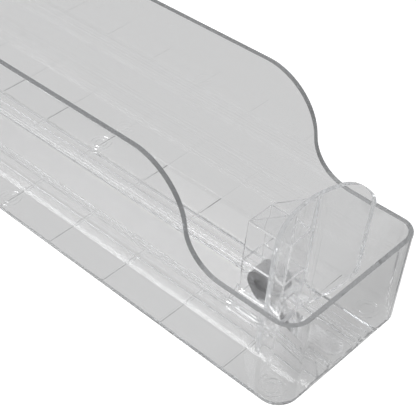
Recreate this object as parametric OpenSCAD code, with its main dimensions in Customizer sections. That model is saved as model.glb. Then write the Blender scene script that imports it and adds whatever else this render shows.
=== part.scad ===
// Clear can bin with a spring pusher. X runs across, Y along, the open low end faces -Y, Z is up.
// The origin is on the surface that the feet stand on, under the middle of the bin.

/* [Bin] */
// Outer length at the rim
bin_length = 400; // [300:1:440]
// Outer width
bin_width = 82; // [78:0.2:100]
// Height of the rear and side walls above the tray's underside
high_wall = 100; // [85:1:115]
// Height of the low front wall above the tray's underside
low_wall = 53.3; // [40:0.1:60]
// Wall thickness
wall = 2.3; // [1.8:0.1:3]
// Outer corner radius seen from above
corner_radius = 10.4; // [8:0.1:14]
// Lean of the front wall, outwards at the rim
front_lean = 7.2; // [3:0.1:9]
// Distance from the front rim to the steepest point of the side sweep
sweep_place = 59.2; // [50:0.1:80]
// Radius of the lower, hollow part of the side sweep
hollow_radius = 18.6; // [12:0.2:22]
// Size of the bevel round the underside
base_edge = 0.8; // [0.4:0.1:1.5]

/* [Floor] */
// Floor thickness
floor_thick = 2; // [1.6:0.1:2.6]
// Rise of the middle platform above the side strips
platform_rise = 1.2; // [0.8:0.1:1.6]
// Half width of the platform at the foot of its slope
platform_foot = 23.8; // [22.5:0.1:24]
// Half width of the platform at the top of its slope
platform_edge = 21.6; // [20.5:0.1:22]
// Half width of the middle channel
channel_half = 9.1; // [7.5:0.1:10]
// Spread of the channel's sides from its bottom to the platform
channel_draft = 0.4; // [0:0.1:0.8]
// How much further in the hollow under the platform starts
hollow_shift = 0.6; // [0.2:0.1:1]
// Thickness of a rail's web, which stands on the channel's edge
rail_web = 1.2; // [1:0.1:1.6]
// Height of a rail above the platform
rail_height = 2.7; // [2.5:0.1:3.2]
// Thickness of the rail's lip
lip_thick = 0.9; // [0.7:0.1:1]
// Reach of the rail's lip beyond its web
lip_reach = 1; // [0.8:0.1:1.4]
// Gap between the rear rim and the rear ends of rails and glides
rail_end = 11; // [4:0.5:16]
// Distance from the middle to a glide ridge that the cans slide on
glide_side = 17; // [15.5:0.1:19]
// Width of a glide ridge
glide_width = 1.6; // [1:0.1:2.4]
// Height of a glide ridge above the platform
glide_height = 0.8; // [0.6:0.1:1.2]
// Distance from the front rim to the first cross rib
rib_start = 41; // [36:1:44]
// Distance from one cross rib to the next
rib_pitch = 39.1; // [30:0.1:50]
// Width of a cross rib
rib_width = 1.1; // [0.8:0.1:1.6]
// Height of a cross rib
rib_height = 0.5; // [0.3:0.1:0.7]

/* [Feet] */
// Height of the ring feet
foot_height = 0.8; // [0.5:0.1:1]
// Outer diameter of a ring foot
foot_diameter = 12.4; // [11:0.1:13]
// Diameter of the small ring inside a foot
foot_core = 7.6; // [5:0.1:8]
// Width of the rings' walls
foot_wall = 1.1; // [0.8:0.1:1.3]
// Distance from the middle to a foot's centre
foot_side = 30.6; // [30:0.1:31.2]
// Distance from the front and rear rims to the end feet
foot_end = 20.6; // [18:0.1:28]

/* [Strip anchor] */
// Half width of the anchor pad
pad_half = 6.5; // [6:0.1:7.5]
// Distance from the front rim to the rear edge of the pad
pad_end = 23; // [20:0.5:26]
// Rise of the pad above the channel
pad_rise = 1.8; // [1.4:0.1:1.8]
// Distance from the front rim to the peg that holds the strip
peg_place = 13.6; // [13:0.1:15]
// Diameter of the peg
peg_diameter = 3.6; // [3:0.1:4]
// Diameter of the peg's staked head
peg_head = 7.6; // [6.5:0.1:8]
// Thickness of the peg's staked head
peg_head_thick = 0.9; // [0.6:0.1:1]

/* [Pusher plate] */
// Distance from the front rim to the foot of the plate
plate_place = 39; // [36:0.5:60]
// Lean of the plate towards the front
plate_lean = 8; // [5:0.5:10]
// Radius of the hollow face that meets the cans
plate_radius = 49; // [42:1:70]
// Thickness of the plate
plate_thick = 2; // [1.6:0.1:2.4]
// Height of the plate's top above the tray's underside
plate_top = 77.4; // [66:0.2:80]
// Half width of the plate
plate_half = 31.9; // [29:0.1:33]
// Radius of the plate's upper corners
plate_corner = 13.8; // [8:0.1:18]
// Radius of the plate's lower corners
plate_heel = 19.6; // [8:0.1:21]

/* [Pusher body] */
// Thickness of the two side walls and the roof
web = 1.5; // [1.2:0.1:1.8]
// Distance from the middle to the middle of a side wall
web_side = 7.3; // [7.1:0.1:7.8]
// Depth of the side walls behind the foot of the plate
web_depth = 21.6; // [20:0.1:24]
// How much further back the side walls reach at the sled, and further forward at the shelf
web_flare = 1.6; // [0.5:0.1:2.5]
// Distance from the plate's top down to the peaks of the side walls
peak_drop = 2.6; // [2:0.1:12]
// How far the side walls lean forward from the sled to the roof
web_slant = 5.8; // [3:0.1:7]
// Height of the roof above the tray's underside
roof_height = 57; // [50:0.5:60]
// Height of the shelf over the coil above the tray's underside
shelf_height = 30.4; // [30.2:0.1:34]
// Thickness of the sled
sled_thick = 1.5; // [1.2:0.1:1.8]
// Length of the sled behind the foot of the plate
sled_length = 23.8; // [23.4:0.1:30]
// Height of the tops of the sled's sloped shoulders above the tray's underside
shoulder_height = 14; // [11:0.1:18]
// Thickness of the sled's skirts
skirt = 1.3; // [1:0.1:1.6]
// Running clearance between the pusher and the rails
run_gap = 0.3; // [0.2:0.05:0.4]

/* [Spring] */
// Width of the steel band
band_width = 9.6; // [8:0.1:10]
// Thickness of the steel band
band_thick = 0.3; // [0.2:0.05:0.35]
// Outer radius of the coil
coil_radius = 8; // [7:0.1:8.2]
// Radius of the open eye in the coil
coil_eye = 3.2; // [2.6:0.1:4]
// Pitch of the coil's turns
coil_pitch = 0.6; // [0.5:0.05:0.7]
// Height of the coil's centre above the tray's underside
coil_height = 19.4; // [19:0.1:21]
// Distance from the front rim to the coil's centre
coil_place = 50.8; // [50.2:0.1:52]
// Gap between the coil and what it lies in
coil_gap = 0.3; // [0.2:0.05:0.4]
// Distance from the front rim to the bend where the band leaves the floor
band_bend = 45.2; // [44.6:0.1:46]

/* [Hidden] */

clear_plastic = [0.86, 0.88, 0.88, 0.45];
clear_pusher = [0.78, 0.84, 0.88, 0.6];
steel = [0.42, 0.43, 0.45];

$fn = 64;
// Overlap of solids that are joined, and overshoot of cuts that pass a face.
eps = 0.01;
past = 1;

// Levels. The tray's underside is one foot height above the surface.
base = foot_height;
side_top = base + floor_thick;
platform_top = side_top + platform_rise;
channel_top = side_top;
rail_top = platform_top + rail_height;
lip_under = rail_top - lip_thick;
pad_top = channel_top + pad_rise;
wall_top = base + high_wall;
low_top = base + low_wall;

// Ends and sides. The front wall leans about the line where it meets the tray's underside.
front = -bin_length / 2;
rear = bin_length / 2;
half_width = bin_width / 2;
front_foot = front + low_wall * tan(front_lean);
// How far the leaning prism's sides lie outside the side walls, so that its corners cut them cleanly.
corner_bite = 0.03;

// The side sweep: a hollow arc that rises from the low wall into a crest that ends at the high wall.
crest_radius = high_wall - low_wall - hollow_radius;
sweep_y = front + sweep_place;
sweep_z = low_top + hollow_radius;

// Feet stand in rows near both ends and in the middle, and ribs cross the floor at an even pitch.
foot_rows = [front + foot_end, 0, rear - foot_end];
rib_rows = [front + rib_start : rib_pitch : rear - rib_start];

// Levels and places of the pusher at rest.
plate_y = front + plate_place;
hook_low = platform_top + run_gap;
plate_low = hook_low + glide_height;
plate_high = base + plate_top;
plate_tall = (plate_high - plate_low) / cos(plate_lean);
roof_z = base + roof_height;
shelf_z = base + shelf_height + web;
shoulder_z = base + shoulder_height;
peak_z = plate_high - peak_drop;
sled_under = rail_top + run_gap;
sled_top = sled_under + sled_thick;
rail_inner = channel_half + channel_draft;
lip_end = rail_inner + rail_web + lip_reach;
skirt_inner = lip_end + run_gap;
skirt_outer = skirt_inner + skirt;
hook_top = lip_under - run_gap;
hook_tip = rail_inner + rail_web + run_gap;
sled_rear = plate_y + sled_length;
web_rear = plate_y + web_depth;
roof_rear = web_rear - web_slant;
slot_half = band_width / 2 + 2 * run_gap;
// Width of a wall of one web's thickness that slopes at 45 degrees, measured level.
slope_width = web * sqrt(2);

// The coil lies in a saddle behind the plate.
coil_y = front + coil_place;
coil_z = base + coil_height;
saddle_radius = coil_radius + coil_gap;
coil_turns = (coil_radius - coil_eye) / coil_pitch;
coil_steps = 24;

// The band runs level on the pad, bends, and climbs along the tangent to the coil.
bend_y = front + band_bend;
bend_z = pad_top + band_thick / 2;
reach = norm([coil_y - bend_y, coil_z - bend_z]);
touch_radius = coil_radius + band_thick;
climb = atan2(coil_z - bend_z, coil_y - bend_y) - asin(touch_radius / reach);
climb_length = sqrt(reach * reach - touch_radius * touch_radius);
slot_rear = bend_y + (sled_top - bend_z) / tan(climb) + slot_half / 2;

// The middle of the plate's thickness at height z, on the middle plane of the bin.
function plate_mid(z) = plate_y - (z - plate_low) * tan(plate_lean) + plate_thick / 2;

// A rectangle from [x0, y0] to [x1, y1] whose corners have radius r.
module rounded(x0, y0, x1, y1, r) {
    translate([x0 + r, y0]) square([x1 - x0 - 2 * r, y1 - y0]);
    translate([x0, y0 + r]) square([x1 - x0, y1 - y0 - 2 * r]);
    for (x = [x0 + r, x1 - r], y = [y0 + r, y1 - r]) translate([x, y]) circle(r);
}

// Turns a drawing in (y, z) into a slab between x0 and x1.
module slab(x0, x1) {
    translate([x0, 0, 0]) rotate([90, 0, 90]) linear_extrude(x1 - x0) children();
}

// Extrudes a front view along the bin from y0 to y1.
module along(y0, y1) {
    translate([0, y1, 0]) rotate([90, 0, 0]) linear_extrude(y1 - y0) children();
}

// The form inside a line set in by inset from the outer face, from z = low upwards.
// A leaning prism gives it the front wall and the front corners, and an upright one the rest.
module well(inset, low) {
    r = corner_radius - inset;
    side = half_width - inset;
    intersection() {
        translate([0, 0, low]) linear_extrude(2 * high_wall)
            rounded(-side, front - bin_width, side, rear - inset, r);
        translate([0, front_foot, base]) rotate([front_lean, 0, 0])
            translate([0, 0, -high_wall]) linear_extrude(3 * high_wall)
                rounded(-side - corner_bite, inset, side + corner_bite, 2 * bin_length, r);
    }
}

// The side view of the walls: low in front, then an S sweep up to the full height.
module side_view() {
    translate([front - bin_width, 0]) square([bin_length + 2 * bin_width, low_top]);
    translate([sweep_y + crest_radius, 0]) square([bin_length, wall_top]);
    translate([sweep_y, 0]) square([crest_radius + eps, sweep_z]);
    translate([sweep_y + crest_radius, sweep_z]) circle(crest_radius, $fn = 96);
    difference() {
        translate([sweep_y - hollow_radius, 0]) square([hollow_radius + eps, sweep_z]);
        translate([sweep_y - hollow_radius, sweep_z]) circle(hollow_radius, $fn = 96);
    }
}

// The floor in front view: side strips, a raised platform, and a channel down its middle.
module floor_view() {
    raised = base + platform_rise;
    hollow_side = channel_half + floor_thick;
    under = [[half_width, base], [platform_foot - hollow_shift, base],
        [platform_edge - hollow_shift, raised], [hollow_side, raised],
        [hollow_side - channel_draft, base]];
    over = [[channel_half, channel_top], [channel_half + channel_draft, platform_top],
        [platform_edge, platform_top], [platform_foot, side_top], [half_width, side_top]];
    right_half = concat(under, [[0, base], [0, channel_top]], over);
    polygon(right_half);
    mirror([1, 0]) polygon(right_half);
}

// One rail and one glide in front view. The rail is a web with a lip that the sled hooks under.
module rail_view() {
    translate([rail_inner, platform_top - eps]) square([rail_web, rail_height + eps]);
    translate([rail_inner, lip_under]) square([rail_web + lip_reach, lip_thick]);
    translate([glide_side, platform_top]) intersection() {
        translate([0, glide_height - glide_width]) circle(d = 2 * glide_width);
        translate([-glide_width / 2, -eps]) square([glide_width, glide_height + eps]);
    }
}

module ring(outer, inner, height) {
    difference() {
        cylinder(d = outer, h = height);
        translate([0, 0, -past]) cylinder(d = inner, h = height + 2 * past);
    }
}

// A cross rib: a low bar on each side strip, and a stiffener in each hollow under the platform.
module cross_rib(y) {
    hollow_side = channel_half + floor_thick - channel_draft;
    for (side = [0, 1]) mirror([side, 0, 0]) translate([0, y - rib_width / 2, 0]) {
        translate([platform_foot, 0, side_top - eps])
            cube([half_width - platform_foot, rib_width, rib_height + eps]);
        translate([hollow_side, 0, base])
            cube([platform_edge - hollow_side, rib_width, platform_rise + floor_thick / 2]);
    }
}

// The pad at the front of the channel, with the staked peg through the band's end.
module anchor_pad() {
    translate([-pad_half, front_foot, channel_top - eps])
        cube([2 * pad_half, front + pad_end - front_foot, pad_rise + eps]);
    translate([0, front + peg_place, pad_top - eps]) {
        cylinder(d = peg_diameter, h = 2 * band_thick + peg_head_thick);
        translate([0, 0, 2 * band_thick]) cylinder(d = peg_head, h = peg_head_thick);
    }
}

// A slab as wide as the tray whose edges slope outwards at 45 degrees from the underside.
module bevelled_slab() {
    e = base_edge;
    r = corner_radius;
    ends = [front_foot, rear];
    for (x = [r - half_width, half_width - r], y = [ends[0] + r, ends[1] - r])
        translate([x, y, base]) cylinder(r1 = r - e, r2 = r + e, h = 2 * e);
    along(ends[0] + r, ends[1] - r)
        polygon([[e - half_width, base], [half_width - e, base], [half_width + e, base + 2 * e],
            [-half_width - e, base + 2 * e]]);
    slab(r - half_width, half_width - r)
        polygon([[ends[0] + e, base], [ends[1] - e, base], [ends[1] + e, base + 2 * e],
            [ends[0] - e, base + 2 * e]]);
}

// The tray's outer form, with a bevelled edge round its underside.
module outer_form() {
    intersection() {
        well(0, base);
        union() {
            translate([-bin_width, front - bin_width, base + base_edge])
                cube([2 * bin_width, bin_length + 2 * bin_width, wall_top]);
            bevelled_slab();
        }
    }
}

// The walls: the outer form less the room inside it, cut to the side view.
module walls() {
    intersection() {
        difference() {
            outer_form();
            well(wall, base - past);
        }
        slab(-bin_width, bin_width) side_view();
    }
}

module bin() {
    color(clear_plastic) {
        walls();
        intersection() {
            outer_form();
            union() {
                along(front, rear - wall / 2) floor_view();
                for (side = [0, 1]) mirror([side, 0, 0])
                    along(front, rear - rail_end) rail_view();
                anchor_pad();
                for (y = rib_rows) cross_rib(y);
            }
            well(wall / 2, base);
        }
        for (x = [-foot_side, foot_side], y = foot_rows) translate([x, y, 0]) {
            ring(foot_diameter, foot_diameter - 2 * foot_wall, base + eps);
            ring(foot_core, foot_core - 2 * foot_wall, base + eps);
        }
    }
}

// The outline of the plate, with small round corners above and large ones below.
module plate_outline() {
    shoulder = plate_tall - plate_corner;
    for (side = [-1, 1]) {
        translate([side * (plate_half - plate_corner), shoulder]) circle(plate_corner);
        translate([side * (plate_half - plate_heel), plate_heel]) circle(plate_heel);
    }
    translate([plate_corner - plate_half, shoulder])
        square([2 * (plate_half - plate_corner), plate_corner]);
    translate([-plate_half, plate_heel]) square([2 * plate_half, shoulder - plate_heel]);
    translate([plate_heel - plate_half, 0]) square([2 * (plate_half - plate_heel), plate_heel]);
}

// The round room in front of the plate, with its face moved back into the plate by depth.
module can_room(depth) {
    translate([0, plate_y, plate_low]) rotate([plate_lean, 0, 0])
        translate([0, -plate_radius, -plate_tall])
            cylinder(r = plate_radius + depth, h = 3 * plate_tall, $fn = 180);
}

// The curved plate that meets the cans, leaning forward from its foot.
module plate() {
    translate([0, plate_y, plate_low]) rotate([plate_lean, 0, 0]) intersection() {
        translate([0, -plate_radius, -past]) difference() {
            cylinder(r = plate_radius + plate_thick, h = plate_tall + 2 * past, $fn = 180);
            translate([0, 0, -past])
                cylinder(r = plate_radius, h = plate_tall + 4 * past, $fn = 180);
        }
        translate([0, 2 * plate_thick, 0]) rotate([90, 0, 0])
            linear_extrude(plate_radius) plate_outline();
    }
}

// One side wall of the pusher in side view, with the gusset above the roof.
module web_view() {
    polygon([[plate_mid(plate_low), plate_low], [plate_mid(peak_z), peak_z], [roof_rear, roof_z],
        [web_rear - web_flare, shelf_z], [web_rear, coil_z - coil_radius / 2],
        [web_rear + web_flare, sled_top], [web_rear + web_flare, sled_under],
        [plate_mid(plate_low) + web, sled_under], [plate_mid(plate_low) + web, plate_low]]);
}

// A level plate between the side walls, from the plate back to y1, with its top at z.
module shelf(z, y1) {
    translate([-web_side, plate_mid(z), z - web]) cube([2 * web_side, y1 - plate_mid(z), web]);
}

// The saddle behind the plate: a quarter of a tube that the coil lies in, with a ledge to the plate.
module saddle() {
    outer = saddle_radius + web;
    intersection() {
        translate([-web_side, coil_y, coil_z]) rotate([0, 90, 0]) difference() {
            cylinder(r = outer, h = 2 * web_side);
            translate([0, 0, -past]) cylinder(r = saddle_radius, h = 2 * web_side + 2 * past);
        }
        translate([-web_side, coil_y - outer, coil_z - outer]) cube([2 * web_side, outer, outer]);
    }
    shelf(coil_z, coil_y - saddle_radius);
}

// The sled in front view, without its slot: a plate over both rails, with skirts that hook under
// their lips and sloped shoulders that run up to the side walls.
module sled_view() {
    for (side = [0, 1]) mirror([side, 0]) {
        translate([0, sled_under]) square([skirt_outer, sled_thick]);
        translate([skirt_inner, hook_low]) square([skirt, sled_under - hook_low + eps]);
        translate([hook_tip, hook_low]) square([skirt_outer - hook_tip, hook_top - hook_low]);
        polygon([[web_side, shoulder_z], [skirt_outer, sled_top], [skirt_outer, sled_top - eps],
            [skirt_outer - slope_width, sled_top - eps], [web_side, shoulder_z - slope_width]]);
    }
}

module sled() {
    difference() {
        along(plate_y - plate_thick, sled_rear) sled_view();
        translate([-slot_half, front, sled_under - past])
            cube([2 * slot_half, slot_rear - front, sled_thick + 2 * past]);
        can_room(plate_thick / 2);
    }
}

// What the plate and the side walls keep clear of: both rails, and the band in the middle.
module rail_room() {
    for (side = [0, 1]) mirror([side, 0, 0])
        translate([rail_inner - run_gap, front, base])
            cube([skirt_inner - rail_inner + run_gap, bin_length, sled_under - base]);
    translate([-slot_half, front, base])
        cube([2 * slot_half, slot_rear - front, sled_under - base]);
}

module pusher() {
    color(clear_pusher) {
        difference() {
            union() {
                plate();
                for (x = [-web_side, web_side]) slab(x - web / 2, x + web / 2) web_view();
            }
            rail_room();
        }
        shelf(roof_z, roof_rear);
        shelf(shelf_z, web_rear - web_flare);
        saddle();
        sled();
    }
}

// A point of the coil, a turns from the eye, on the band's inner side or one thickness further out.
function coil_point(a, lift) = let (r = coil_eye + coil_pitch * a + lift)
    [r * cos(360 * a), r * sin(360 * a)];

module spring_coil() {
    steps = floor((coil_turns - band_thick / coil_pitch) * coil_steps);
    inner = [for (i = [0 : steps]) coil_point(i / coil_steps, 0)];
    outer = [for (i = [steps : -1 : 0]) coil_point(i / coil_steps, band_thick)];
    color(steel) translate([0, coil_y, coil_z]) slab(-band_width / 2, band_width / 2)
        polygon(concat(inner, outer));
}

// The drawn-out band: a rounded end on the peg, a level run and the climb to the coil.
module spring_strip() {
    end = front + peg_place - peg_head / 2;
    color(steel) {
        translate([0, 0, pad_top]) linear_extrude(band_thick) difference() {
            union() {
                translate([-band_width / 2, end + band_width / 2])
                    square([band_width, bend_y - end - band_width / 2]);
                translate([0, end + band_width / 2]) circle(d = band_width);
            }
            translate([0, front + peg_place]) circle(d = peg_diameter + 2 * run_gap);
        }
        translate([-band_width / 2, bend_y, bend_z]) rotate([climb, 0, 0])
            translate([0, -band_thick / 2, -band_thick / 2])
                cube([band_width, climb_length, band_thick]);
    }
}

bin();
pusher();
spring_coil();
spring_strip();
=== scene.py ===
# %% [markdown]
# # A clear can bin with a spring pusher
# The real object is a long bin of clear moulded plastic for a fridge shelf. Its side walls sweep down
# to a low front. A clear pusher slides on two rails and feeds drinks cans forward, pulled by a rolled
# band of spring steel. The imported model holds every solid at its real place, so this lesson loads it
# first and never moves it. We give the solids rounded edges and finishes, and light them.

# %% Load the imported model
import bpy
import bmesh
from math import cos, pi, radians, sin
from mathutils import Matrix, Vector


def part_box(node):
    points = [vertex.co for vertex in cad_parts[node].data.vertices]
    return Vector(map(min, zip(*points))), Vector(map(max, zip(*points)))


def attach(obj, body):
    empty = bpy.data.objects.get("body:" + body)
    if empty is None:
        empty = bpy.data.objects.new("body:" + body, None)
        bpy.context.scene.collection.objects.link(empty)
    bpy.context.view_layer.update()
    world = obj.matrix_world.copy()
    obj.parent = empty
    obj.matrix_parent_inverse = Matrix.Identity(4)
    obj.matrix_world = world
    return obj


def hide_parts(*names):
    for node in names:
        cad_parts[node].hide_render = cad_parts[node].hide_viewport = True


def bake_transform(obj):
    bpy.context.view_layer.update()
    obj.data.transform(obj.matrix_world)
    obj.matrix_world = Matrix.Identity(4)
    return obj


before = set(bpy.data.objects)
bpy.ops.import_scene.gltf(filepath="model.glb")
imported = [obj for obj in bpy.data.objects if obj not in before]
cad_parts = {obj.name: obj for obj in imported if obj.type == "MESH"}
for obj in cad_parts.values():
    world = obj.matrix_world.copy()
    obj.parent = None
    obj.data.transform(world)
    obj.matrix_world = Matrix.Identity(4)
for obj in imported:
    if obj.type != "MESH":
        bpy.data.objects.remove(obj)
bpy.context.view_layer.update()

# %% [markdown]
# ## Camera
# The photograph looks down into the bin from its front left corner. A camera fitted to the straight
# edges of the photograph gives these values. It is a long lens far away, so lines that are parallel
# on the bin stay nearly parallel in the picture. An alternative is to turn the view by hand until it
# looks right, but a fitted camera makes every later comparison with the photograph a fair one.

# %% Directions of the view
CAMERA_PLACE = Vector((-0.26726, -0.39431, 0.38198))
CAMERA_TURN = radians(43.49)
CAMERA_DIP = radians(41.18)
CAMERA_ROLL = radians(-2.60)

ahead = Vector((sin(CAMERA_TURN) * cos(CAMERA_DIP), cos(CAMERA_TURN) * cos(CAMERA_DIP), -sin(CAMERA_DIP)))
level = Vector((cos(CAMERA_TURN), -sin(CAMERA_TURN), 0))
upward = level.cross(ahead)
right = level * cos(CAMERA_ROLL) + upward * sin(CAMERA_ROLL)
up = upward * cos(CAMERA_ROLL) - level * sin(CAMERA_ROLL)
print("camera looks along", [round(a, 3) for a in ahead])

# %% Camera
LENS_MM = 99.58
SENSOR_MM = 36.0
NEAREST_SEEN = 0.01

camera_data = bpy.data.cameras.new("camera")
camera_data.lens = LENS_MM
camera_data.sensor_width = SENSOR_MM
camera_data.clip_start = NEAREST_SEEN
camera = bpy.data.objects.new("camera", camera_data)
bpy.context.scene.collection.objects.link(camera)
turn = Matrix((right, up, -ahead)).transposed().to_4x4()
camera.matrix_world = Matrix.Translation(CAMERA_PLACE) @ turn
bpy.context.scene.camera = camera
print("camera stands at", [round(a, 3) for a in CAMERA_PLACE])

# %% [markdown]
# ## Helpers for materials
# Every finish here is a tree of nodes. The trees could be wired node by node, but then the wiring
# hides what each finish does. So small helpers add a node, set its values and link its inputs, and
# each material reads as a short list. The patterns read Object coordinates, which stay with the
# piece when it moves.

# %% Helpers that add nodes
def add(tree, kind, inputs=(), **values):
    """Add a node. values are its properties or sockets by name. inputs are pairs of a socket and
    the output that is linked to it, or a plain number for it."""
    made = tree.nodes.new(kind)
    for name, value in values.items():
        if hasattr(made, name):
            setattr(made, name, value)
        else:
            made.inputs[name.replace("_", " ")].default_value = value
    for socket, given in inputs:
        if isinstance(given, bpy.types.NodeSocket):
            tree.links.new(given, made.inputs[socket])
        else:
            made.inputs[socket].default_value = given
    return made


def reckon(tree, operation, first, second, **values):
    """The output of a Math node of two outputs or numbers."""
    return add(tree, "ShaderNodeMath", [(0, first), (1, second)], operation=operation, **values).outputs[0]


def either(tree, factor, usual, other):
    """A number that is usual where factor is 0 and other where it is 1."""
    mix = add(tree, "ShaderNodeMix", [("Factor", factor), ("A", usual), ("B", other)], data_type="FLOAT")
    return mix.outputs["Result"]


def new_material(name):
    """A material whose tree holds only its output."""
    material = bpy.data.materials.new(name)
    material.use_nodes = True
    tree = material.node_tree
    tree.nodes.clear()
    return material, tree, tree.nodes.new("ShaderNodeOutputMaterial")


print("node helpers ready")

# %% [markdown]
# ## Clear moulded plastic
# Clear styrene is a hard, glossy plastic, and a wall of it carries light along inside itself. A
# Transmission shader with a pale tint is enough for the faces, but the rims are long paths through
# the plastic. There a volume that only takes light away ends in black. So the body also has a faint
# painted glow, an emission that stands in for the light that a real moulding scatters, and a long
# path ends in grey. The pusher's edges look lighter than the bin's, so it has more painted glow. The
# surface isn't perfect: the melt leaves a very low waviness, which is a bump, and handling leaves
# faint scuffs, which are roughness, both from noise.

# %% Clear plastic material
STYRENE_INDEX = 1.56
WALL_TINT = (0.97, 0.971, 0.973, 1.0)
BODY_COLOUR = (0.90, 0.902, 0.904, 1.0)
SCUFF_ROUGHNESS = 0.02
SCUFFED_FROM, SCUFFED_TO = 0.45, 0.8
WAVES_PER_SCUFF = 0.25
WAVE_STRENGTH = 0.0005
WAVE_DEPTH = 0.001


def clear_plastic(name, density, glow, scuffs_per_metre):
    """Clear plastic whose body takes light by density and gives it back by a painted glow."""
    material, tree, output = new_material(name)
    place = add(tree, "ShaderNodeTexCoord").outputs["Object"]
    cloud = add(tree, "ShaderNodeTexNoise", [("Vector", place)],
                Scale=scuffs_per_metre, Detail=4.0, Roughness=0.6)
    scuffed = add(tree, "ShaderNodeMapRange", [("Value", cloud.outputs["Fac"])],
                  From_Min=SCUFFED_FROM, From_Max=SCUFFED_TO, To_Min=0.0, To_Max=SCUFF_ROUGHNESS)
    wave = add(tree, "ShaderNodeTexNoise", [("Vector", place)],
               Scale=scuffs_per_metre * WAVES_PER_SCUFF, Detail=1.0)
    bump = add(tree, "ShaderNodeBump", [("Height", wave.outputs["Fac"])],
               Strength=WAVE_STRENGTH, Distance=WAVE_DEPTH)
    surface = add(tree, "ShaderNodeBsdfPrincipled",
                  [("Roughness", scuffed.outputs["Result"]), ("Normal", bump.outputs["Normal"])],
                  IOR=STYRENE_INDEX, Transmission_Weight=1.0, Base_Color=WALL_TINT)
    taken = add(tree, "ShaderNodeVolumeAbsorption", Color=BODY_COLOUR, Density=density)
    # The emission is a painted glow: the body gives light though it is no lamp.
    given = add(tree, "ShaderNodeEmission", Strength=glow)
    body = add(tree, "ShaderNodeAddShader", [(0, taken.outputs["Volume"]), (1, given.outputs["Emission"])])
    tree.links.new(surface.outputs["BSDF"], output.inputs["Surface"])
    tree.links.new(body.outputs["Shader"], output.inputs["Volume"])
    return material


# Both bodies have a painted glow; the pusher's is stronger, so its edges look lighter.
bin_plastic = clear_plastic("moulded_bin", density=190.0, glow=3.9, scuffs_per_metre=90)
pusher_plastic = clear_plastic("moulded_pusher", density=110.0, glow=5.4, scuffs_per_metre=120)
print("plastics:", bin_plastic.name, pusher_plastic.name)

# %% [markdown]
# ## Spring steel
# The band is cold rolled steel, and rolling leaves fine lines along it. They could be cut into the
# mesh, but they are far finer than its faces, so a material draws them. The band lies level across
# X, so noise that is fine along X and stretched along Y and Z gives lines along the band, on the
# coil and on the drawn-out strip alike. Coil and strip are the same steel, but the coil's copy is
# painted much darker, a painted reflection of dark surroundings that this scene doesn't have.

# %% Spring steel material
# The coil's steel is painted darker than the strip's: a painted reflection of dark surroundings.
COIL_STEEL_PAINTED_DARK = (0.32, 0.32, 0.33)
STRIP_STEEL = (0.80, 0.80, 0.81)
LINE_CONTRAST = 0.35
LINES_PER_METRE = 4000
BREAKS_PER_METRE = 60
LINE_STRENGTH = 0.1
LINE_DEPTH = 0.0001
STEEL_SMOOTH, STEEL_ROUGH = 0.06, 0.16


def shaded(colour, share):
    """The colour times the share, no brighter than white, with full alpha."""
    return (*[min(part * share, 1) for part in colour], 1)


def spring_steel(name, colour):
    """Rolled steel of the given colour, with fine lines along the band."""
    material, tree, output = new_material(name)
    place = add(tree, "ShaderNodeTexCoord").outputs["Object"]
    stretch = add(tree, "ShaderNodeMapping", [("Vector", place)],
                  Scale=(LINES_PER_METRE, BREAKS_PER_METRE, BREAKS_PER_METRE))
    lines = add(tree, "ShaderNodeTexNoise", [("Vector", stretch.outputs["Vector"])],
                Scale=1.0, Detail=3.0).outputs["Fac"]
    rough = add(tree, "ShaderNodeMapRange", [("Value", lines)], To_Min=STEEL_SMOOTH, To_Max=STEEL_ROUGH)
    tone = add(tree, "ShaderNodeMixRGB", [("Fac", lines)],
               Color1=shaded(colour, 1 - LINE_CONTRAST), Color2=shaded(colour, 1 + LINE_CONTRAST))
    bump = add(tree, "ShaderNodeBump", [("Height", lines)], Strength=LINE_STRENGTH, Distance=LINE_DEPTH)
    surface = add(tree, "ShaderNodeBsdfPrincipled",
                  [("Base Color", tone.outputs["Color"]), ("Roughness", rough.outputs["Result"]),
                   ("Normal", bump.outputs["Normal"])], Metallic=1.0)
    tree.links.new(surface.outputs["BSDF"], output.inputs["Surface"])
    return material


# The darker coil steel is a painted reflection; the strip keeps the plain steel colour.
coil_steel_painted_dark = spring_steel("rolled_steel", COIL_STEEL_PAINTED_DARK)
strip_steel = spring_steel("drawn_steel", STRIP_STEEL)
print("steels:", coil_steel_painted_dark.name, strip_steel.name)

# %% [markdown]
# ## Rounded copies of the mouldings
# A mould never leaves a knife edge, and in clear plastic the edges are what the eye sees: each small
# round gathers a bright or a dark line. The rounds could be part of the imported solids, but those
# stay simple for the motion checks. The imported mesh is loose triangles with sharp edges, so we copy
# it, weld its points and join the flat triangles into whole faces. A Bevel modifier then rounds the
# edges that carry a weight. An edge gets one if it is sharp and both of its faces have room for the
# round, since a round that is wider than its face folds over, and clear plastic shows the fold as a
# dark patch. Weighted normals keep the flat faces flat, which matters when light passes them.

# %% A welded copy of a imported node
WELD = 2e-6
FLAT = radians(0.2)


def welded_copy(node, name):
    """A new object with the node's mesh, its points welded and its flat faces joined."""
    mesh = bpy.data.meshes.new_from_object(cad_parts[node])
    mesh.name = name
    mesh.materials.clear()
    work = bmesh.new()
    work.from_mesh(mesh)
    bmesh.ops.remove_doubles(work, verts=work.verts, dist=WELD)
    bmesh.ops.dissolve_limit(work, angle_limit=FLAT, verts=work.verts, edges=work.edges)
    work.to_mesh(mesh)
    work.free()
    copy = bpy.data.objects.new(name, mesh)
    bpy.context.scene.collection.objects.link(copy)
    return copy


print("points closer than", WELD, "m are welded")

# %% Make the modifiers final
def made_plain(piece):
    """Replace the piece's mesh by what its modifiers make of it, and take the modifiers off."""
    graph = bpy.context.evaluated_depsgraph_get()
    ready = piece.evaluated_get(graph)
    mesh = bpy.data.meshes.new_from_object(ready, preserve_all_data_layers=True, depsgraph=graph)
    piece.modifiers.clear()
    piece.data = mesh


print("helper for modifiers ready")

# %% Choose the edges to round
SHARP = radians(20)
ROOM = 0.7


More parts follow.
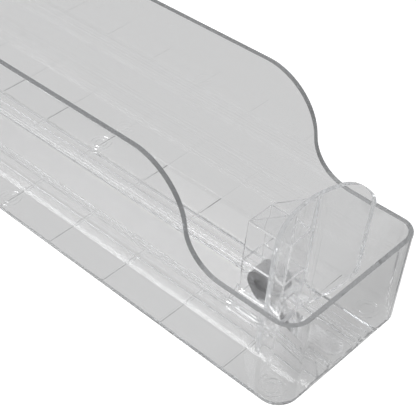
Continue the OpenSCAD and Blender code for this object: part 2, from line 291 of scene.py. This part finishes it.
def mark_edges(piece, radius):
    """Weight each sharp edge whose two faces are both wide enough for the round."""
    work = bmesh.new()
    work.from_mesh(piece.data)
    weight = work.edges.layers.float.new("bevel_weight_edge")
    roomy = {face: face.calc_area() > face.calc_perimeter() * radius * ROOM for face in work.faces}
    for edge in work.edges:
        sides = edge.link_faces
        wide = len(sides) == 2 and all(roomy[face] for face in sides)
        edge[weight] = 1.0 if wide and edge.calc_face_angle(0) > SHARP else 0.0
    work.to_mesh(piece.data)
    work.free()


print("edges over", round(SHARP * 180 / pi), "degrees are rounded")

# %% Round a piece
ROUND_STEPS = 2


def smooth_faces(piece):
    """Shade every face of the piece smooth."""
    for face in piece.data.polygons:
        face.use_smooth = True


def rounded_piece(node, name, radius, material):
    """The node's shape with its sharp edges rounded, in the given material."""
    piece = welded_copy(node, name)
    mark_edges(piece, radius)
    bevel = piece.modifiers.new("edges", "BEVEL")
    bevel.width = radius
    bevel.segments = ROUND_STEPS
    bevel.limit_method = "WEIGHT"
    bevel.use_clamp_overlap = True
    smooth_faces(piece)
    normals = piece.modifiers.new("flat faces", "WEIGHTED_NORMAL")
    normals.keep_sharp = True
    made_plain(piece)
    piece.data.materials.clear()
    piece.data.materials.append(material)
    return piece


print("rounding helper ready")

# %% [markdown]
# ## The bin
# The bin is one moulding. Its rims, the sweep of its sides, the floor's platform and the rails all
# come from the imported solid. It could be modelled afresh, but then it might no longer fit the
# pusher. So it only gets a small radius, on each sharp edge that has room for it.

# %% Bin
BIN_EDGE = 0.00034
bin_piece = rounded_piece("bin", "bin_moulding", BIN_EDGE, bin_plastic)
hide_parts("bin")
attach(bin_piece, "tray")
print("bin faces:", len(bin_piece.data.polygons))

# %% [markdown]
# ## The pusher
# The pusher is the second moulding: a hollow plate for the cans, two side walls, and a sled that
# hooks under the rails. It is made in the same way and for the same reason. Its walls are thinner,
# so its radius is smaller.

# %% Pusher
PUSHER_EDGE = 0.00018
pusher_piece = rounded_piece("pusher", "pusher_moulding", PUSHER_EDGE, pusher_plastic)
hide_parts("pusher")
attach(pusher_piece, "slider")
print("pusher faces:", len(pusher_piece.data.polygons))

# %% [markdown]
# ## The coil
# The coil is a long band rolled round itself. A cylinder with lines painted on its ends would do
# from afar, but its turns show through the clear pusher. Their shape follows a rule: a flat spiral
# with a thin rectangle swept along it, and that is work for Geometry Nodes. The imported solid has
# turns of the same pitch and thickness, made of fewer flat faces. We read the band's width from its
# box and roll a smoother band in its place, a little smaller, so that it stays inside the solid's.

# %% Size and place of the coil
COIL_AXIS = Vector((0, -0.1492, 0.0202))
COIL_RADIUS = 0.00784
COIL_EYE = 0.0032
BAND_THICK = 0.0003
TURN_PITCH = 0.0006
coil_low, coil_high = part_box("spring_coil")
band_width = coil_high.x - coil_low.x
print("band width in mm:", round(band_width * 1000, 2))

# %% A node tree that rolls a band
TURN_STEPS = 48
BAND_SIZES = ("Eye radius", "Outer radius", "Pitch", "Band width", "Band thickness")


def rolled_band():
    """A Geometry Nodes tree with named inputs for the spiral and the band."""
    tree = bpy.data.node_groups.new("rolled_band", "GeometryNodeTree")
    tree.interface.new_socket("Geometry", in_out="OUTPUT", socket_type="NodeSocketGeometry")
    for name in BAND_SIZES:
        tree.interface.new_socket(name, in_out="INPUT", socket_type="NodeSocketFloat")
    tree.interface.new_socket("Place", in_out="INPUT", socket_type="NodeSocketVector")
    tree.interface.new_socket("Material", in_out="INPUT", socket_type="NodeSocketMaterial")
    given = add(tree, "NodeGroupInput").outputs
    span = reckon(tree, "SUBTRACT", given["Outer radius"], given["Eye radius"])
    turns = reckon(tree, "DIVIDE", span, given["Pitch"])
    spiral = add(tree, "GeometryNodeCurveSpiral",
                 [("Rotations", turns), ("Start Radius", given["Eye radius"]),
                  ("End Radius", given["Outer radius"])], Resolution=TURN_STEPS, Height=0.0)
    flat = add(tree, "GeometryNodeSetCurveNormal", [("Curve", spiral.outputs[0])], mode="Z_UP")
    section = add(tree, "GeometryNodeCurvePrimitiveQuadrilateral",
                  [("Width", given["Band thickness"]), ("Height", given["Band width"])])
    swept = add(tree, "GeometryNodeCurveToMesh",
                [("Curve", flat.outputs[0]), ("Profile Curve", section.outputs[0])], Fill_Caps=True)
    turned = add(tree, "GeometryNodeTransform",
                 [("Geometry", swept.outputs[0]), ("Translation", given["Place"])])
    turned.inputs["Rotation"].default_value = (pi / 2, 0, pi / 2)
    real = add(tree, "GeometryNodeRealizeInstances", [("Geometry", turned.outputs[0])])
    painted = add(tree, "GeometryNodeSetMaterial",
                  [("Geometry", real.outputs[0]), ("Material", given["Material"])])
    add(tree, "NodeGroupOutput", [("Geometry", painted.outputs[0])])
    return tree


band_tree = rolled_band()
print("inputs:", [item.name for item in band_tree.interface.items_tree if item.in_out == "INPUT"])

# %% Roll the coil
CREASE = radians(40)


def set_inputs(modifier, **values):
    """Set the modifier's inputs, which are stored under the sockets' identifiers."""
    for item in modifier.node_group.interface.items_tree:
        key = item.name.replace(" ", "_")
        if item.in_out == "INPUT" and key in values:
            modifier[item.identifier] = values[key]


coil_piece = bpy.data.objects.new("coil_band", bpy.data.meshes.new("coil_band"))
bpy.context.scene.collection.objects.link(coil_piece)
rolling = coil_piece.modifiers.new("rolled band", "NODES")
rolling.node_group = band_tree
set_inputs(rolling, Eye_radius=COIL_EYE, Outer_radius=COIL_RADIUS, Pitch=TURN_PITCH,
           Band_width=band_width, Band_thickness=BAND_THICK, Place=COIL_AXIS, Material=coil_steel_painted_dark)
made_plain(coil_piece)
smooth_faces(coil_piece)
coil_piece.data.set_sharp_from_angle(angle=CREASE)
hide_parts("spring_coil")
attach(coil_piece, "coil")
print("coil faces:", len(coil_piece.data.polygons))

# %% [markdown]
# ## The drawn-out strip
# From the coil the band runs down to the floor and forward to a peg in front. When the pusher goes
# back, more band unrolls. It could be hidden in that pose, or drawn at full length under the coil,
# but neither looks right at rest. Here the strip is a copy of its solid, sliced every millimetre
# along the bin, so that its long flat run has many points. It is lifted by a hair, so that it
# doesn't share its lower face with the plastic below.

# %% Strip
SLICE = 0.001
STRIP_LIFT = 0.00003
strip_piece = welded_copy("spring_strip", "drawn_strip")
strip_low, strip_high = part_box("spring_strip")


def sliced_along(piece, start, end, step):
    """Cut the mesh with planes across Y, step apart."""
    work = bmesh.new()
    work.from_mesh(piece.data)
    y = start + step
    while y < end:
        everything = work.verts[:] + work.edges[:] + work.faces[:]
        bmesh.ops.bisect_plane(work, geom=everything, plane_co=(0, y, 0), plane_no=(0, 1, 0))
        y += step
    bmesh.ops.triangulate(work, faces=work.faces)
    work.to_mesh(piece.data)
    work.free()


sliced_along(strip_piece, strip_low.y, strip_high.y, SLICE)
strip_piece.data.transform(Matrix.Translation((0, 0, STRIP_LIFT)))
strip_piece.data.materials.append(strip_steel)
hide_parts("spring_strip")
print("strip faces:", len(strip_piece.data.polygons))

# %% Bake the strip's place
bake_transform(strip_piece)

# %% [markdown]
# ## Floor
# The ground is plain white, but what the plastic lets through and mirrors is greyer than that. A
# plain white board would fit the first and make the plastic far too bright. So the floor is a wide
# pale board that asks how a ray came. A ray from the camera sees the lit board and a glow, which add
# up to white, with the shadow kept. A ray through the plastic sees the glow alone, which is painted
# shade for the bin's shadow, and a little less of it under the front, which is a painted shadow. A
# mirrored ray sees a share of both, and a smaller share in front of the bin than beside it, which is
# a painted dark reflection, as if a grey card lay there.

# %% Values of the floor
FLOOR_SIZE = 12.0
FLOOR_TONE = 0.80
MOTTLE = 0.01
MOTTLE_SCALE = 2.0
FLOOR_GLOW = 0.65
GLOW_IN_PAINTED_SHADOW = 0.82
SHADED_FROM, SHADED_TO = -0.185, -0.145
MIRRORED_BESIDE = 0.55
MIRRORED_IN_FRONT = 0.3
PAINTED_REFLECTION_EDGE = -0.195
PAINTED_REFLECTION_FADE = 0.01
print("floor of", FLOOR_SIZE, "m in tone", FLOOR_TONE)

# %% Floor material
def floor_material():
    """A mottled pale board that glows for rays from the camera, the plastic and mirrors, with painted shade
    through the plastic and a painted dark reflection in mirrors.
    """
    material, tree, output = new_material("pale_floor")
    path = add(tree, "ShaderNodeLightPath").outputs
    through = path["Is Transmission Ray"]
    place = add(tree, "ShaderNodeTexCoord").outputs["Object"]
    along = add(tree, "ShaderNodeSeparateXYZ", [("Vector", place)]).outputs["Y"]
    mottle = add(tree, "ShaderNodeTexNoise", [("Vector", place)], Scale=MOTTLE_SCALE)
    tone = add(tree, "ShaderNodeMapRange", [("Value", mottle.outputs["Fac"])],
               To_Min=FLOOR_TONE - MOTTLE, To_Max=FLOOR_TONE + MOTTLE)
    board = add(tree, "ShaderNodeBsdfDiffuse", [("Color", tone.outputs["Result"])])
    # Rays through the plastic see no lit board, only the glow: painted shade for the bin's shadow.
    dark = add(tree, "ShaderNodeEmission", Strength=0.0)
    under = add(tree, "ShaderNodeMixShader", [("Fac", through), (1, board.outputs[0]), (2, dark.outputs[0])])

    # Less glow under the front for rays through the plastic: a painted shadow.
    shade = add(tree, "ShaderNodeMapRange", [("Value", along)],
                From_Min=SHADED_FROM, From_Max=SHADED_TO, To_Min=GLOW_IN_PAINTED_SHADOW, To_Max=1.0)
    direct = reckon(tree, "MAXIMUM", path["Is Camera Ray"], path["Is Glossy Ray"])
    seen = reckon(tree, "MAXIMUM", direct, through)
    full = reckon(tree, "MULTIPLY", seen, FLOOR_GLOW)
    glow = reckon(tree, "MULTIPLY", full, either(tree, through, 1.0, shade.outputs["Result"]))
    light = add(tree, "ShaderNodeEmission", [("Strength", glow)])
    lit = add(tree, "ShaderNodeAddShader", [(0, under.outputs[0]), (1, light.outputs[0])])

    # Mirrored rays see the floor darker, more so in front of the bin: a painted dark reflection.
    mirrored = reckon(tree, "SUBTRACT", path["Is Glossy Ray"], through, use_clamp=True)
    painted_dark_share = add(tree, "ShaderNodeMapRange", [("Value", along)],
               From_Min=PAINTED_REFLECTION_EDGE - PAINTED_REFLECTION_FADE, From_Max=PAINTED_REFLECTION_EDGE,
               To_Min=1 - MIRRORED_IN_FRONT, To_Max=1 - MIRRORED_BESIDE)
    share = reckon(tree, "MULTIPLY", mirrored, painted_dark_share.outputs["Result"])
    shown = add(tree, "ShaderNodeMixShader", [("Fac", share), (1, lit.outputs[0]), (2, dark.outputs[0])])
    tree.links.new(shown.outputs[0], output.inputs["Surface"])
    return material


pale_floor = floor_material()
print("floor material:", pale_floor.name)

# %% Floor
half = FLOOR_SIZE / 2
corners = [(-half, -half, 0), (half, -half, 0), (half, half, 0), (-half, half, 0)]
floor_mesh = bpy.data.meshes.new("floor")
floor_mesh.from_pydata(corners, [], [(0, 1, 2, 3)])
floor_mesh.materials.append(pale_floor)
floor = bpy.data.objects.new("floor", floor_mesh)
bpy.context.scene.collection.objects.link(floor)
print("floor laid:", len(floor_mesh.polygons), "face")

# %% [markdown]
# ## World
# The studio round the bin is seen only in mirrored and bent rays, so it is painted in the world
# instead of built. Mirrored rays see a wall that is dark at the floor and pale overhead. High beyond
# the bin's rear hangs a soft box, which the slopes along the rails mirror as white bands. Rays from
# the camera see a white backdrop, and rays through the plastic one that is nearly white. What the
# board gets from the world is weak, because the lamp lights it.

# %% Values of the world
WORLD_LIGHT = 0.096
WORLD_LOW = 0.096
WORLD_HIGH = 0.88
WORLD_THROUGH = 0.8
WORLD_SEEN = 1.0
SOFTBOX_AHEAD = Vector((-0.27, 0.55, 0.79))
SOFTBOX_EDGE = 0.955
SOFTBOX_FADE = 0.03
SOFTBOX_GLOW = 4.8
print("soft box towards", [round(a, 2) for a in SOFTBOX_AHEAD.normalized()])

# %% World
world = bpy.data.worlds.new("studio")
bpy.context.scene.world = world
world.use_nodes = True
sky = world.node_tree
sky.nodes.clear()
path = add(sky, "ShaderNodeLightPath").outputs
heading = add(sky, "ShaderNodeTexCoord").outputs["Generated"]
height = add(sky, "ShaderNodeSeparateXYZ", [("Vector", heading)]).outputs["Z"]
wall = add(sky, "ShaderNodeMapRange", [("Value", height)], To_Min=WORLD_LOW, To_Max=WORLD_HIGH)
toward = add(sky, "ShaderNodeVectorMath", [(0, heading), (1, SOFTBOX_AHEAD.normalized())],
             operation="DOT_PRODUCT")
softbox = add(sky, "ShaderNodeMapRange", [("Value", toward.outputs["Value"])],
              From_Min=SOFTBOX_EDGE, From_Max=SOFTBOX_EDGE + SOFTBOX_FADE, To_Min=0.0, To_Max=SOFTBOX_GLOW)
backdrop = reckon(sky, "MULTIPLY", path["Is Transmission Ray"], WORLD_THROUGH)
behind = reckon(sky, "MAXIMUM", wall.outputs["Result"], backdrop)
bent = reckon(sky, "ADD", behind, softbox.outputs["Result"])
unseen = either(sky, path["Is Diffuse Ray"], bent, WORLD_LIGHT)
strength = either(sky, path["Is Camera Ray"], unseen, WORLD_SEEN)
background = add(sky, "ShaderNodeBackground", [("Strength", strength)], Color=(1, 1, 1, 1))
add(sky, "ShaderNodeOutputWorld", [("Surface", background.outputs[0])])
print("world nodes:", len(sky.nodes))

# %% [markdown]
# ## Lamp
# One small lamp lights the board. Clear plastic throws a hard, dark shadow here, since no light is
# followed through it from a lamp, and the photograph shows none. So the lamp stands just behind the
# camera, where the bin hides its own shadow. A lamp so near would light the floor unevenly, and a
# Light Falloff node keeps its light the same at any distance.

# %% Lamp
LAMP_BEHIND = 0.02
LAMP_SIZE = 0.02
LAMP_POWER = 9
lamp_place = CAMERA_PLACE - ahead * LAMP_BEHIND
lamp_aim = CAMERA_PLACE + ahead
lamp_data = bpy.data.lights.new("main", "AREA")
lamp_data.size = LAMP_SIZE
lamp_data.energy = LAMP_POWER
lamp_data.use_nodes = True
lamp_tree = lamp_data.node_tree
even = add(lamp_tree, "ShaderNodeLightFalloff", Strength=1.0)
lamp_tree.links.new(even.outputs["Constant"], lamp_tree.nodes["Emission"].inputs["Strength"])
lamp = bpy.data.objects.new("main", lamp_data)
facing = (lamp_aim - lamp_place).to_track_quat("-Z", "Y")
lamp.matrix_world = Matrix.Translation(lamp_place) @ facing.to_matrix().to_4x4()
bpy.context.scene.collection.objects.link(lamp)
print("lamp stands at", [round(a, 3) for a in lamp_place])

# %% [markdown]
# ## Paths of light
# Light that gets into a rim runs along the wall and meets its faces dozens of times. With the usual
# few bounces such paths are cut off and turn black, so each may have many here. Caustics are off.
# They would add bright specks that need far more samples, and the floor's glow already gives the
# light that comes through.

# %% Bounces
BOUNCES = 96
cycles = bpy.context.scene.cycles
cycles.max_bounces = BOUNCES
cycles.glossy_bounces = BOUNCES
cycles.transmission_bounces = BOUNCES
cycles.caustics_refractive = False
cycles.caustics_reflective = False
print("bounces:", cycles.max_bounces)

# %% [markdown]
# ## View
# Standard shows colours as they are written.

# %% Finish
bpy.context.scene.view_settings.view_transform = "Standard"
